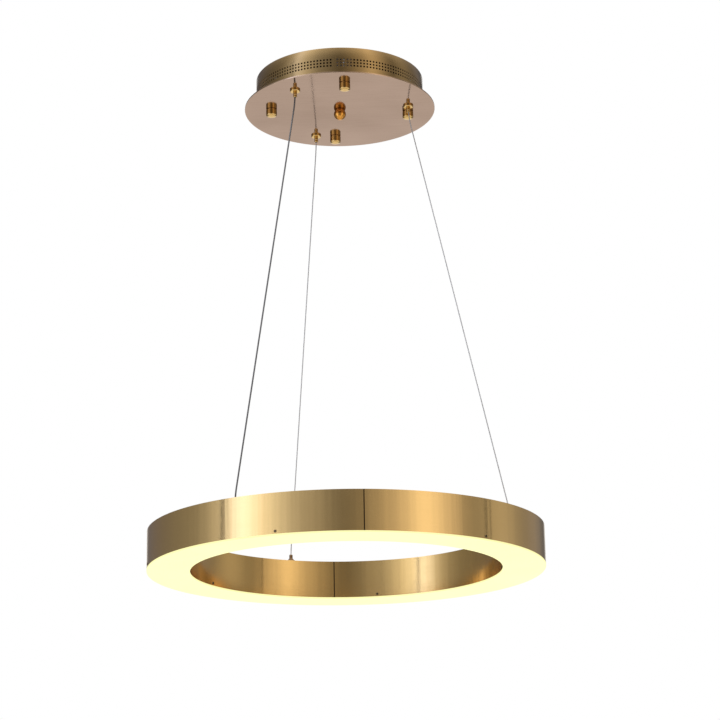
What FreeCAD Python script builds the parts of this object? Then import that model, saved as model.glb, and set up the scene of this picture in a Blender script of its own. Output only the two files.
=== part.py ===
import FreeCAD, Part
import math
import os

# LED ring chandelier: a ring of two brass bands with an opal underside, hung by
# three slanting wires from a round canopy with a perforated drum.
# Millimetres and degrees. The origin is on the ceiling plane, on the canopy's
# axis. +Z is up, and angles are counted from +X round +Z.

V = FreeCAD.Vector
UP = V(0, 0, 1)

# ---------------------------------------------------------------- the whole
canopy_height = 50.0        # ceiling to the underside of the canopy plate
ring_drop = 748.0           # underside of the canopy plate to the bottom of the ring
hang_angle = 111.0          # first of the three wires, the others follow at thirds
hang_count = 3

# ---------------------------------------------------------------- the ring
ring_radius = 300.0         # outer face of the outer band
ring_width = 64.8           # outer face of the outer band to inner face of the inner one
band_height = 58.4
band_thickness = 1.0
seam_angle = -85.1          # butt joints of the bands, here and opposite
seam_gap = 0.2
splice_height = 26.0
splice_thickness = 1.2
splice_arc = 22.0           # half length of a splice plate along the band
fit_gap = 0.2               # between parts that are slid into each other

# Opal diffuser: a flat ring with a lip under the bands and two upstanding skirts.
lip_height = 2.2
skirt_height = 12.0
skirt_thickness = 2.2
lip_round = 0.7

# Inverted channel that closes the ring from above and carries everything.
channel_thickness = 1.2
channel_flange = 14.0
channel_recess = 0.4        # below the bands' upper edges
channel_split = seam_angle + 90.0
joint_plate_thickness = 1.5
joint_plate_arc = 14.0      # half length of a joint plate along the ring

# Lamp tray inside the ring.
tray_thickness = 1.0
tray_height = 33.0          # underside of the tray above the ring's bottom
tray_margin = 6.5           # free space to the inside of each band
board_width = 20.0
board_thickness = 1.6
board_count = 6
board_gap_angle = 4.0
chips_per_board = 10
chip_length = 3.5
chip_width = 2.8
chip_height = 0.7
post_count = 6
post_radius = 3.0
post_inset = 15.0           # centre of a post inside the outer band's face
terminal_length = 22.0
terminal_width = 12.0
terminal_height = 10.0

# Band screws.
band_screw_height = 6.0     # above the ring's bottom
band_screw_head = 2.2
band_screw_head_height = 0.9
band_screw_radius = 1.5
band_screw_length = 6.0
outer_screw_start = -109.0
outer_screw_count = 6
inner_screw_angles = (2.0, 78.0, 152.0, 222.0, 292.0)

# ---------------------------------------------------------------- the canopy
plate_radius = 152.0
plate_thickness = 2.0
drum_radius = 133.5
drum_wall = 1.0
drum_flange = 8.0
vent_columns = 160          # one of them is left blank at the drum's seam
vent_rows = 3
vent_size = 2.2
vent_pitch = 4.7            # from row to row
vent_start = 19.8           # lowest row above the plate's underside
vent_seam = -93.4

bracket_thickness = 2.5
bracket_width = 28.0
bracket_end_gap = 13.5      # from the end of an arm to the drum's outer face
hub_radius = 48.0
bracket_angle = 4.2         # the cross is turned by this against the X axis
ceiling_hole_radius = 2.75
ceiling_hole_circle = 38.0
inlet_radius = 5.0
inlet_wall = 2.0
inlet_flange = 2.5
inlet_flange_height = 1.5
inlet_circle = 26.0

stud_inset = 24.0           # centre of a stud inside the drum's outer face
stud_count = 4
stud_radius = 2.5
stud_depth = 8.0            # length of a stud below the canopy plate
nut_flats_small = 8.0
nut_height_small = 4.0
thread_clearance = 0.05
hole_clearance = 0.25

cap_nut_radius = 8.6
cap_nut_height = 11.8
cap_nut_neck = 7.4
cap_nut_neck_height = 1.0
cap_nut_chamfer = 0.9

centre_rod_radius = 4.0
centre_rod_depth = 9.0      # length of the rod below the canopy plate
centre_nut_flats = 13.0
centre_nut_height = 6.0
ball_radius = 9.6
ball_neck_radius = 7.9         # the ball is cut flat here
ball_neck_height = 0.4

driver_length = 60.0
driver_width = 38.0
driver_height = 24.0
driver_tab = 10.0
driver_tab_thickness = 2.5
driver_start = 16.0         # nearest end of the driver from the canopy's axis
driver_round = 2.0
block_length = 30.0
block_width = 18.0
block_height = 14.0
block_place = 45.0
screw_radius = 1.5
screw_head_radius = 2.8
screw_head_height = 1.8
earth_place = 66.0
earth_radius = 2.0
earth_head = 4.0
earth_head_height = 3.0
earth_length = 9.0

# ---------------------------------------------------------------- cable grippers
grip_inset = 23.0           # centre of a gripper inside the drum's outer face
grip_flange_radius = 8.0
grip_flange_height = 3.0
grip_shank_radius = 5.0
grip_shank_height = 20.0
grip_nut_flats = 15.0
grip_nut_height = 5.0
plunger_radius = 3.0
plunger_out = 8.8           # how far it stands out of the flange
plunger_in = 2.0            # how far it reaches into the body
plunger_travel = 2.0
plunger_bore = 1.5
plunger_mouth = 2.3         # radius of the flared mouth, where the wire slants out
plunger_mouth_depth = 4.0
stem_radius = 1.95
stem_height = 6.0
stem_head_radius = 2.4
stem_head_height = 1.0
running_gap = 0.05
neck_length = 2.0
cone_height = 8.0
chamber_radius = 3.8
grip_ball_radius = 0.8
grip_ball_count = 3
grip_cap_depth = 4.0
grip_cap_lip = 1.0
spring_radius = 2.9         # outside of the spring, clear of the cone at its foot
spring_wall = 0.9

# ---------------------------------------------------------------- wires and anchors
feed_radius = 1.2           # the left wire is the sheathed low-voltage feed
wire_radius = 0.9           # the other two are bare steel rope
anchor_inset = 14.8         # centre of an anchor outside the inner band's face
anchor_flange_radius = 6.5
anchor_flange_height = 3.2
anchor_cone_radius = 5.6    # foot of the cone between flange and nipple
anchor_cone_height = 3.0
anchor_nipple_radius = 2.75
anchor_nipple_height = 6.1
anchor_shank_radius = 4.0
anchor_shank_height = 10.0
anchor_nut_flats = 13.0
anchor_nut_height = 5.0
ferrule_radius = 2.5
ferrule_height = 5.0
ferrule_gap = 0.1
wire_tail = 24.0            # length of a wire above the plate's underside
upper_bend = 18.0           # bend of a wire below the plate's underside
lower_bend = 5.0            # bend of a wire above the anchor's nipple

# ---------------------------------------------------------------- levels and circles
plate_bottom = -canopy_height
plate_top = plate_bottom + plate_thickness
bracket_bottom = -bracket_thickness
ring_bottom = plate_bottom - ring_drop
band_bottom = ring_bottom + lip_height
band_top = band_bottom + band_height
channel_top = band_top - channel_recess
channel_bottom = channel_top - channel_thickness
tray_bottom = ring_bottom + tray_height
tray_top = tray_bottom + tray_thickness
inner_radius = ring_radius - ring_width
outer_inside = ring_radius - band_thickness
inner_inside = inner_radius + band_thickness
ring_middle = 0.5 * (ring_radius + inner_radius)
anchor_circle = inner_radius + anchor_inset
bracket_reach = drum_radius - bracket_end_gap
stud_circle = drum_radius - stud_inset
grip_circle = drum_radius - grip_inset
hang_angles = [hang_angle + 360.0 * i / hang_count for i in range(hang_count)]
hang_sides = ("far", "left", "right")


def revolved(outline, start=0.0, sweep=360.0):
    """Solid swept round the Z axis from a closed outline of (radius, height) points."""
    corners = [V(radius, 0, height) for radius, height in outline]
    face = Part.Face(Part.makePolygon(corners + corners[:1]))
    solid = face.revolve(V(0, 0, 0), UP, sweep)
    solid.rotate(V(0, 0, 0), UP, start)
    return solid


def washer(inner, outer, low, high, start=0.0, sweep=360.0):
    """Flat ring, or a sector of one."""
    return revolved([(inner, low), (outer, low), (outer, high), (inner, high)], start, sweep)


def rod(radius, low, high):
    """Round bar on the Z axis."""
    return Part.makeCylinder(radius, high - low, V(0, 0, low))


def block(length, width, low, high):
    """Rectangular block centred on the Z axis."""
    return Part.makeBox(length, width, high - low, V(-0.5 * length, -0.5 * width, low))


def hexagon(flats, low, high):
    """Hexagonal bar on the Z axis, given across its flats."""
    reach = flats / math.sqrt(3.0)
    corners = [V(reach * math.cos(math.radians(60 * i)), reach * math.sin(math.radians(60 * i)), low)
               for i in range(7)]
    return Part.Face(Part.makePolygon(corners)).extrude(V(0, 0, high - low))


def hex_nut(flats, bore, low, high):
    return hexagon(flats, low, high).cut(rod(bore, low, high))


def placed(shape, radius, angle):
    """Copy of a shape moved out from the Z axis, and round it."""
    copy = shape.copy()
    copy.translate(V(radius, 0, 0))
    copy.rotate(V(0, 0, 0), UP, angle)
    return copy


def around(shape, radius, angles):
    return [placed(shape, radius, angle) for angle in angles]


def steps(count, start=0.0):
    return [start + 360.0 * i / count for i in range(count)]


def radial_bar(radius, inner, outer, height):
    """Round bar that points away from the Z axis along +X."""
    return Part.makeCylinder(radius, outer - inner, V(inner, 0, height), V(1, 0, 0))


def arc_degrees(length, radius):
    return math.degrees(length / radius)


# ---------------------------------------------------------------- canopy pieces
stud_angles = steps(stud_count, bracket_angle)
ceiling_hole_angles = steps(4, bracket_angle + 45.0)
inlet_angle = bracket_angle + 180.0
driver_angle = bracket_angle + 90.0
driver_reach = driver_length + 2 * driver_tab
driver_centre = driver_start + 0.5 * driver_reach
driver_screw_places = (driver_start + 0.5 * driver_tab,
                       driver_start + driver_reach - 0.5 * driver_tab)
screw_hole = screw_radius + thread_clearance


def ceiling_bracket():
    """Cross of flat steel with a round hub, screwed to the ceiling."""
    cross = rod(hub_radius, bracket_bottom, 0)
    for angle in (bracket_angle, bracket_angle + 90.0):
        arm = block(2 * bracket_reach, bracket_width, bracket_bottom, 0)
        arm.rotate(V(0, 0, 0), UP, angle)
        cross = cross.fuse(arm)
    holes = [rod(centre_rod_radius + thread_clearance, bracket_bottom, 0)]
    holes += around(rod(stud_radius + thread_clearance, bracket_bottom, 0), stud_circle, stud_angles)
    holes += around(rod(ceiling_hole_radius, bracket_bottom, 0), ceiling_hole_circle, ceiling_hole_angles)
    holes += [placed(rod(inlet_radius + inlet_wall, bracket_bottom, 0), inlet_circle, inlet_angle)]
    holes += [placed(rod(screw_hole, bracket_bottom, 0), place, driver_angle)
              for place in driver_screw_places]
    holes += [placed(rod(earth_radius + thread_clearance, bracket_bottom, 0), earth_place, bracket_angle)]
    return cross.cut(holes).removeSplitter()


def inlet_grommet():
    """Rubber bush in the hub, through which the house cable comes in."""
    outside = inlet_radius + inlet_wall - thread_clearance
    flange = inlet_radius + inlet_wall + inlet_flange
    low = bracket_bottom - inlet_flange_height
    bush = revolved([(inlet_radius, low), (flange, low), (flange, bracket_bottom),
                     (outside, bracket_bottom), (outside, 0), (inlet_radius, 0)])
    return placed(bush, inlet_circle, inlet_angle)


def bracket_studs():
    return around(rod(stud_radius, plate_bottom - stud_depth, 0), stud_circle, stud_angles)


def stud_lock_nuts():
    nut = hex_nut(nut_flats_small, stud_radius + thread_clearance,
                  bracket_bottom - nut_height_small, bracket_bottom)
    return around(nut, stud_circle, stud_angles)


def centre_rod():
    return rod(centre_rod_radius, plate_bottom - centre_rod_depth, 0)


def centre_lock_nut():
    return hex_nut(centre_nut_flats, centre_rod_radius + thread_clearance,
                   bracket_bottom - centre_nut_height, bracket_bottom)


def canopy_drum():
    """Sheet drum with rows of square vent holes punched all round, but for its lap seam."""
    inside = drum_radius - drum_wall
    drum = revolved([(inside - drum_flange, plate_top), (drum_radius, plate_top), (drum_radius, 0),
                     (inside, 0), (inside, plate_top + drum_wall),
                     (inside - drum_flange, plate_top + drum_wall)])
    reach = 3 * drum_wall
    punch = Part.makeBox(reach, vent_size, vent_size, V(-0.5 * reach - 0.5 * drum_wall, -0.5 * vent_size, 0))
    punches = []
    for row in range(vent_rows):
        level = plate_bottom + vent_start + row * vent_pitch - 0.5 * vent_size
        raised = punch.copy()
        raised.translate(V(0, 0, level))
        punches += around(raised, drum_radius, steps(vent_columns, vent_seam)[1:])
    return drum.cut(punches)


def canopy_plate():
    """Round plate that overhangs the drum, with the holes of all that passes it."""
    plate = rod(plate_radius, plate_bottom, plate_top)
    holes = [rod(centre_rod_radius + hole_clearance, plate_bottom, plate_top)]
    holes += around(rod(stud_radius + hole_clearance, plate_bottom, plate_top), stud_circle, stud_angles)
    holes += around(rod(grip_shank_radius + running_gap, plate_bottom, plate_top), grip_circle, hang_angles)
    return plate.cut(holes)


def cap_nuts():
    """Closed round nuts that hold the plate on the bracket's studs."""
    bore = stud_radius + thread_clearance
    bore_end = plate_bottom - stud_depth - hole_clearance
    neck = plate_bottom - cap_nut_neck_height
    end = plate_bottom - cap_nut_height
    nut = revolved([(bore, plate_bottom), (cap_nut_neck, plate_bottom), (cap_nut_neck, neck),
                    (cap_nut_radius, neck), (cap_nut_radius, end + cap_nut_chamfer),
                    (cap_nut_radius - cap_nut_chamfer, end), (0, end), (0, bore_end), (bore, bore_end)])
    return around(nut, stud_circle, stud_angles)


def ball_nut():
    """Ball cut flat on a short neck, screwed on the centre rod."""
    neck_bottom = plate_bottom - ball_neck_height
    middle = neck_bottom - math.sqrt(ball_radius ** 2 - ball_neck_radius ** 2)
    ball = Part.makeSphere(ball_radius, V(0, 0, middle))
    ball = ball.common(rod(ball_radius, middle - ball_radius, neck_bottom))
    neck = rod(ball_neck_radius, neck_bottom, plate_bottom)
    bore = rod(centre_rod_radius + thread_clearance,
               plate_bottom - centre_rod_depth - hole_clearance, plate_bottom)
    return ball.fuse(neck).cut(bore)


def led_driver():
    """Closed power supply with a screw tab at each end, under one arm of the bracket."""
    case = block(driver_length, driver_width, bracket_bottom - driver_height, bracket_bottom)
    rim = [edge for edge in case.Edges if edge.BoundBox.ZMin < bracket_bottom - 0.5 * driver_tab_thickness]
    case = case.makeFillet(driver_round, rim)
    tabs = block(driver_reach, 0.5 * driver_width, bracket_bottom - driver_tab_thickness, bracket_bottom)
    case = case.fuse(tabs)
    for place in driver_screw_places:
        hole = rod(screw_hole, bracket_bottom - driver_tab_thickness, bracket_bottom)
        hole.translate(V(place - driver_centre, 0, 0))
        case = case.cut(hole)
    return placed(case, driver_centre, driver_angle)


def driver_screws():
    tab_bottom = bracket_bottom - driver_tab_thickness
    screw = rod(screw_radius, tab_bottom, -thread_clearance)
    screw = screw.fuse(rod(screw_head_radius, tab_bottom - screw_head_height, tab_bottom))
    return [placed(screw, place, driver_angle) for place in driver_screw_places]


def terminal_block():
    """House cable's terminal block, under the arm opposite the driver."""
    body = block(block_length, block_width, bracket_bottom - block_height, bracket_bottom)
    pitch = block_length / 3.0
    for side in (-1, 0, 1):
        for direction in (-1, 1):
            mouth = Part.makeCylinder(0.2 * pitch, 0.3 * block_width, V(0, 0, 0), V(0, 1, 0))
            mouth.translate(V(side * pitch, (-0.5 if direction < 0 else 0.2) * block_width,
                              bracket_bottom - 0.5 * block_height))
            body = body.cut(mouth)
    return placed(body, block_place, bracket_angle - 90.0)


def earth_screw():
    shank = rod(earth_radius, bracket_bottom - earth_length, -thread_clearance)
    head = hexagon(1.8 * earth_head, bracket_bottom - earth_length - earth_head_height,
                   bracket_bottom - earth_length)
    washers = rod(earth_head + 1.0, bracket_bottom - 1.0, bracket_bottom)
    return placed(shank.fuse([head, washers]), earth_place, bracket_angle)


# ---------------------------------------------------------------- cable grippers
# Each gripper is a screwed body with a cone that narrows downwards. Three balls
# wedge in the cone against the wire, under a spring. The plunger below lifts
# them, and then the wire slides.
guide_radius = plunger_radius + running_gap
neck_radius = stem_radius + running_gap
grip_flange_bottom = plate_bottom - grip_flange_height
plunger_bottom = grip_flange_bottom - plunger_out
plunger_top = grip_flange_bottom + plunger_in
guide_end = plunger_top + plunger_travel + running_gap
cone_start = guide_end + neck_length
cone_end = cone_start + cone_height
grip_top = plate_bottom + grip_shank_height
stem_top = plunger_top + stem_height
stem_head_top = stem_top + stem_head_height
ball_level = stem_head_top + grip_ball_radius
spring_bottom = ball_level + grip_ball_radius + 0.5 * running_gap
cap_bottom = grip_top - grip_cap_depth
cap_hole = plunger_bore + running_gap


def gripper_bodies():
    body = revolved([(guide_radius, grip_flange_bottom), (grip_flange_radius, grip_flange_bottom),
                     (grip_flange_radius, plate_bottom), (grip_shank_radius, plate_bottom),
                     (grip_shank_radius, grip_top), (chamber_radius, grip_top),
                     (chamber_radius, cone_end), (neck_radius, cone_start),
                     (neck_radius, guide_end), (guide_radius, guide_end)])
    return around(body, grip_circle, hang_angles)


def gripper_lock_nuts():
    nut = hex_nut(grip_nut_flats, grip_shank_radius + running_gap, plate_top, plate_top + grip_nut_height)
    return around(nut, grip_circle, hang_angles)


def gripper_caps():
    """Bushes that close the grippers from above and hold their springs."""
    bush = revolved([(cap_hole, cap_bottom), (chamber_radius - running_gap, cap_bottom),
                     (chamber_radius - running_gap, grip_top), (grip_shank_radius, grip_top),
                     (grip_shank_radius, grip_top + grip_cap_lip), (cap_hole, grip_top + grip_cap_lip)])
    return around(bush, grip_circle, hang_angles)


def release_plunger(angle):
    """Hollow push piece: a knob below, a stem, and a head that carries the balls."""
    plunger = revolved([(plunger_bore, plunger_bottom + plunger_mouth_depth),
                        (plunger_mouth, plunger_bottom), (plunger_radius, plunger_bottom),
                        (plunger_radius, plunger_top), (stem_radius, plunger_top),
                        (stem_radius, stem_top), (stem_head_radius, stem_top),
                        (stem_head_radius, stem_head_top), (plunger_bore, stem_head_top)])
    return placed(plunger, grip_circle, angle)


def grip_balls(angle):
    ball = Part.makeSphere(grip_ball_radius, V(0, 0, ball_level))
    circle = feed_radius + grip_ball_radius + 0.5 * running_gap
    return [placed(one, grip_circle, angle) for one in around(ball, circle, steps(grip_ball_count))]


def release_spring(angle):
    spring = washer(spring_radius - spring_wall, spring_radius, spring_bottom, cap_bottom)
    return placed(spring, grip_circle, angle)


# ---------------------------------------------------------------- ring pieces
flange_outside = outer_inside - 0.5 * fit_gap
flange_inside = inner_inside + 0.5 * fit_gap
outer_screw_angles = steps(outer_screw_count, outer_screw_start)
post_circle = ring_radius - post_inset
post_angles = steps(post_count, hang_angle + 30.0)
board_inner = ring_middle - 0.5 * board_width
board_bottom = tray_bottom - board_thickness
band_screw_level = ring_bottom + band_screw_height
inner_head_seat = math.sqrt(inner_radius ** 2 - band_screw_head ** 2)


def band_halves(inner, outer, screw_angles):
    """Two half rings of sheet with the screw holes of the diffuser."""
    gap = arc_degrees(seam_gap, outer)
    halves = []
    for start in (seam_angle, seam_angle + 180.0):
        half = washer(inner, outer, band_bottom, band_top, start + 0.5 * gap, 180.0 - gap)
        bar = radial_bar(band_screw_radius + thread_clearance, inner - 1.0, outer + 1.0, band_screw_level)
        holes = [placed(bar, 0, angle) for angle in screw_angles
                 if (angle - start) % 360.0 < 180.0]
        halves.append(half.cut(holes) if holes else half)
    return halves


def splice_plates():
    """Plates that join the halves of each band from inside."""
    low = band_bottom + skirt_height + 2 * fit_gap
    plates = []
    for inner in (outer_inside - fit_gap - splice_thickness, inner_inside + fit_gap):
        half = arc_degrees(splice_arc, inner)
        plates += [washer(inner, inner + splice_thickness, low, low + splice_height, seam - half, 2 * half)
                   for seam in (seam_angle, seam_angle + 180.0)]
    return plates


def channel_halves():
    """Sheet channel, open below, between the bands."""
    low = channel_top - channel_flange
    wall = channel_thickness
    outline = [(flange_inside, low), (flange_inside + wall, low), (flange_inside + wall, channel_bottom),
               (flange_outside - wall, channel_bottom), (flange_outside - wall, low),
               (flange_outside, low), (flange_outside, channel_top), (flange_inside, channel_top)]
    gap = arc_degrees(seam_gap, ring_middle)
    halves = []
    for start in (channel_split, channel_split + 180.0):
        half = revolved(outline, start + 0.5 * gap, 180.0 - gap)
        hole = rod(anchor_shank_radius + thread_clearance, channel_bottom, channel_top)
        halves.append(half.cut(around(hole, anchor_circle, hang_angles)))
    return halves


def channel_joint_plates():
    half = arc_degrees(joint_plate_arc, ring_middle)
    margin = 2 * channel_thickness + fit_gap
    return [washer(flange_inside + margin, flange_outside - margin, channel_bottom - joint_plate_thickness,
                   channel_bottom, split - half, 2 * half)
            for split in (channel_split, channel_split + 180.0)]


def tray_halves():
    """Flat carrier of the lamp boards, in two half rings."""
    gap = arc_degrees(seam_gap, ring_middle)
    halves = []
    for start in (channel_split, channel_split + 180.0):
        half = washer(inner_inside + tray_margin, outer_inside - tray_margin, tray_bottom, tray_top,
                      start + 0.5 * gap, 180.0 - gap)
        hole = rod(screw_hole, tray_bottom, tray_top)
        halves.append(half.cut(around(hole, post_circle, post_angles)))
    return halves


def tray_posts():
    """Spacers between the channel and the tray."""
    post = hexagon(2 * post_radius, tray_top, channel_bottom).cut(rod(screw_hole, tray_top, channel_bottom))
    return around(post, post_circle, post_angles)


def tray_screws():
    screw = rod(screw_radius, tray_bottom, tray_top + 3 * screw_radius)
    screw = screw.fuse(rod(screw_head_radius, tray_bottom - screw_head_height, tray_bottom))
    return around(screw, post_circle, post_angles)


def led_boards():
    sweep = 360.0 / board_count - board_gap_angle
    return [washer(board_inner, board_inner + board_width, board_bottom, tray_bottom, start, sweep)
            for start in steps(board_count, channel_split + 0.5 * board_gap_angle)]


def led_chips():
    chip = block(chip_width, chip_length, board_bottom - chip_height, board_bottom)
    sweep = 360.0 / board_count - board_gap_angle
    chips = []
    for start in steps(board_count, channel_split + 0.5 * board_gap_angle):
        angles = [start + sweep * (i + 0.5) / chips_per_board for i in range(chips_per_board)]
        chips += around(chip, ring_middle, angles)
    return chips


def feed_terminal():
    """Terminal on the tray where the feed wire comes in."""
    body = block(terminal_width, terminal_length, tray_top, tray_top + terminal_height)
    return placed(body, ring_middle, hang_angles[1] + arc_degrees(2 * terminal_length, ring_middle))


def diffuser():
    """Opal ring: its lip covers the bands' lower edges, its skirts are screwed to them."""
    skirt_top = band_bottom + skirt_height
    outer_skirt = outer_inside - fit_gap
    inner_skirt = inner_inside + fit_gap
    body = revolved([
        (inner_radius + lip_round, ring_bottom), (ring_radius - lip_round, ring_bottom),
        (ring_radius, ring_bottom + lip_round), (ring_radius, band_bottom),
        (outer_skirt, band_bottom), (outer_skirt, skirt_top),
        (outer_skirt - skirt_thickness, skirt_top), (outer_skirt - skirt_thickness, band_bottom),
        (inner_skirt + skirt_thickness, band_bottom), (inner_skirt + skirt_thickness, skirt_top),
        (inner_skirt, skirt_top), (inner_skirt, band_bottom), (inner_radius, band_bottom),
        (inner_radius, ring_bottom + lip_round)])
    hole_radius = band_screw_radius + thread_clearance
    outer_bar = radial_bar(hole_radius, outer_skirt - skirt_thickness - 1.0, outer_skirt + 1.0,
                           band_screw_level)
    inner_bar = radial_bar(hole_radius, inner_skirt - 1.0, inner_skirt + skirt_thickness + 1.0,
                           band_screw_level)
    holes = [placed(outer_bar, 0, angle) for angle in outer_screw_angles]
    holes += [placed(inner_bar, 0, angle) for angle in inner_screw_angles]
    return body.cut(holes)


def band_screws(face, direction, angles):
    """Small round-head screws through a band into the diffuser's skirt."""
    tip = face - direction * band_screw_length
    head = face + direction * band_screw_head_height
    screw = radial_bar(band_screw_radius, min(tip, face), max(tip, face), band_screw_level)
    screw = screw.fuse(radial_bar(band_screw_head, min(face, head), max(face, head), band_screw_level))
    rim = [edge for edge in screw.Edges
           if isinstance(edge.Curve, Part.Circle) and abs(edge.CenterOfMass.x - head) < 1e-6]
    screw = screw.makeChamfer(0.4 * band_screw_head_height, rim)
    return [placed(screw, 0, angle) for angle in angles]


# ---------------------------------------------------------------- wires
anchor_flange_top = channel_top + anchor_flange_height
anchor_cone_top = anchor_flange_top + anchor_cone_height
anchor_nipple_top = anchor_cone_top + anchor_nipple_height
ferrule_top = channel_top - anchor_shank_height + ferrule_height
anchor_bore = feed_radius + 0.5 * hole_clearance + thread_clearance


def wire_anchors():
    """Screwed sockets in the channel, each with a nipple that the wire enters."""
    low = channel_top - anchor_shank_height
    seat = ferrule_radius + ferrule_gap
    anchor = revolved([
        (seat, low), (anchor_shank_radius, low), (anchor_shank_radius, channel_top),
        (anchor_flange_radius, channel_top), (anchor_flange_radius, anchor_flange_top),
        (anchor_cone_radius, anchor_flange_top), (anchor_nipple_radius, anchor_cone_top),
        (anchor_nipple_radius, anchor_nipple_top), (anchor_bore, anchor_nipple_top),
        (anchor_bore, ferrule_top + ferrule_gap), (seat, ferrule_top + ferrule_gap)])
    return around(anchor, anchor_circle, hang_angles)


def anchor_lock_nuts():
    nut = hex_nut(anchor_nut_flats, anchor_shank_radius + thread_clearance,
                  channel_bottom - anchor_nut_height, channel_bottom)
    return around(nut, anchor_circle, hang_angles)


def wire_ferrules():
    """Crimped end sleeves that can't pass the anchors' bores."""
    return around(rod(ferrule_radius, ferrule_top - ferrule_height, ferrule_top), anchor_circle, hang_angles)


def wire_route():
    """Corner points of a wire in the X-Z plane: down the gripper, slanting, down the anchor."""
    return [V(grip_circle, 0, plate_bottom + wire_tail),
            V(grip_circle, 0, plate_bottom - upper_bend),
            V(anchor_circle, 0, anchor_nipple_top + lower_bend),
            V(anchor_circle, 0, ferrule_top)]


def hanging_wire(name, radius, angle):
    """Round wire along its route, each corner an arc as large as its runs allow."""
    points = wire_route()
    edges = []
    last = points[0]
    for before, corner, after in zip(points, points[1:], points[2:]):
        run_in = corner - before
        run_out = after - corner
        turn = run_in.getAngle(run_out)
        shorter = min(run_in.Length, run_out.Length)
        bend = 0.45 * shorter / math.tan(0.5 * turn)
        cut_back = 0.45 * shorter
        start = corner - run_in.normalize() * cut_back
        end = corner + run_out.normalize() * cut_back
        towards_centre = run_out - run_in
        centre_gap = bend / math.cos(0.5 * turn) - bend
        middle = corner + towards_centre.normalize() * centre_gap
        edges += [Part.LineSegment(last, start).toShape(), Part.Arc(start, middle, end).toShape()]
        last = end
        print(name, "bend radius", round(bend, 1))
    edges.append(Part.LineSegment(last, points[-1]).toShape())
    path = Part.Wire(edges)
    section = Part.Wire([Part.Circle(points[0], UP, radius).toShape()])
    tube = path.makePipeShell([section], True, False)
    share = tube.Volume / (math.pi * radius ** 2 * path.Length)
    print(name, "length", round(path.Length, 1), "volume / (section x length)", round(share, 4))
    return placed(tube, 0, angle)


# ---------------------------------------------------------------- all nodes
outer_band_right, outer_band_left = band_halves(outer_inside, ring_radius, outer_screw_angles)
inner_band_right, inner_band_left = band_halves(inner_radius, inner_inside, inner_screw_angles)
top_channel_far, top_channel_near = channel_halves()
led_tray_far, led_tray_near = tray_halves()

nodes = {
    "ceiling_bracket": ceiling_bracket(),
    "inlet_grommet": inlet_grommet(),
    "bracket_studs": bracket_studs(),
    "stud_lock_nuts": stud_lock_nuts(),
    "centre_rod": centre_rod(),
    "centre_lock_nut": centre_lock_nut(),
    "canopy_drum": canopy_drum(),
    "canopy_plate": canopy_plate(),
    "cap_nuts": cap_nuts(),
    "ball_nut": ball_nut(),
    "led_driver": led_driver(),
    "driver_screws": driver_screws(),
    "terminal_block": terminal_block(),
    "earth_screw": earth_screw(),
    "gripper_bodies": gripper_bodies(),
    "gripper_lock_nuts": gripper_lock_nuts(),
    "gripper_caps": gripper_caps(),
    "outer_band_left": outer_band_left,
    "outer_band_right": outer_band_right,
    "inner_band_left": inner_band_left,
    "inner_band_right": inner_band_right,
    "splice_plates": splice_plates(),
    "top_channel_far": top_channel_far,
    "top_channel_near": top_channel_near,
    "channel_joint_plates": channel_joint_plates(),
    "led_tray_far": led_tray_far,
    "led_tray_near": led_tray_near,
    "tray_posts": tray_posts(),
    "tray_screws": tray_screws(),
    "led_boards": led_boards(),
    "led_chips": led_chips(),
    "feed_terminal": feed_terminal(),
    "diffuser": diffuser(),
    "outer_band_screws": band_screws(ring_radius, 1, outer_screw_angles),
    "inner_band_screws": band_screws(inner_head_seat, -1, inner_screw_angles),
    "wire_anchors": wire_anchors(),
    "anchor_lock_nuts": anchor_lock_nuts(),
    "wire_ferrules": wire_ferrules(),
}
for side, angle in zip(hang_sides, hang_angles):
    nodes["release_plunger_" + side] = release_plunger(angle)
    nodes["grip_balls_" + side] = grip_balls(angle)
    nodes["release_spring_" + side] = release_spring(angle)
nodes["hanging_wire_far"] = hanging_wire("hanging_wire_far", wire_radius, hang_angles[0])
nodes["feed_wire_left"] = hanging_wire("feed_wire_left", feed_radius, hang_angles[1])
nodes["hanging_wire_right"] = hanging_wire("hanging_wire_right", wire_radius, hang_angles[2])

os.makedirs("parts", exist_ok=True)
for name, shape in nodes.items():
    solid = Part.makeCompound(shape) if isinstance(shape, list) else shape
    solid.exportStep(os.path.join("parts", name + ".step"))
print(len(nodes), "nodes")
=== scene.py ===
import bmesh
import bpy
import math
from mathutils import Matrix, Vector


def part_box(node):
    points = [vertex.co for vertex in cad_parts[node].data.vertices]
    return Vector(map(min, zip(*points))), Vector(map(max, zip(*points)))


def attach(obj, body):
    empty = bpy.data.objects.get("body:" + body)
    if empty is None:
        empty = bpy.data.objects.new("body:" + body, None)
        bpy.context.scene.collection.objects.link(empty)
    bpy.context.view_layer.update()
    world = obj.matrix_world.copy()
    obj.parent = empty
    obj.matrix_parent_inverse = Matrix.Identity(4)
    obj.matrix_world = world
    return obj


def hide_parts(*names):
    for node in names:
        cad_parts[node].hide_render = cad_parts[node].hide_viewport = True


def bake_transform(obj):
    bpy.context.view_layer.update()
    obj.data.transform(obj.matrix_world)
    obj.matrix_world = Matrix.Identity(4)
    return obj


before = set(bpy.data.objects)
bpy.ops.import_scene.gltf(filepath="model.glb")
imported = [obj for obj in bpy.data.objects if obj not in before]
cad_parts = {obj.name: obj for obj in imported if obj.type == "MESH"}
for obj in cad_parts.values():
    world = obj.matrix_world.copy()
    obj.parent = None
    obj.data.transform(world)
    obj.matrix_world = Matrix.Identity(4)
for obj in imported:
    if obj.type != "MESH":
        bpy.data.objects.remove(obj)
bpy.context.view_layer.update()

scene = bpy.context.scene
collection = scene.collection

# -------- ceiling cross and its fastenings
# A zinc-plated cross of flat steel under the ceiling, with four studs, a centre rod and their
# nuts. It is seen only from above, through the open top of the canopy.


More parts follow.
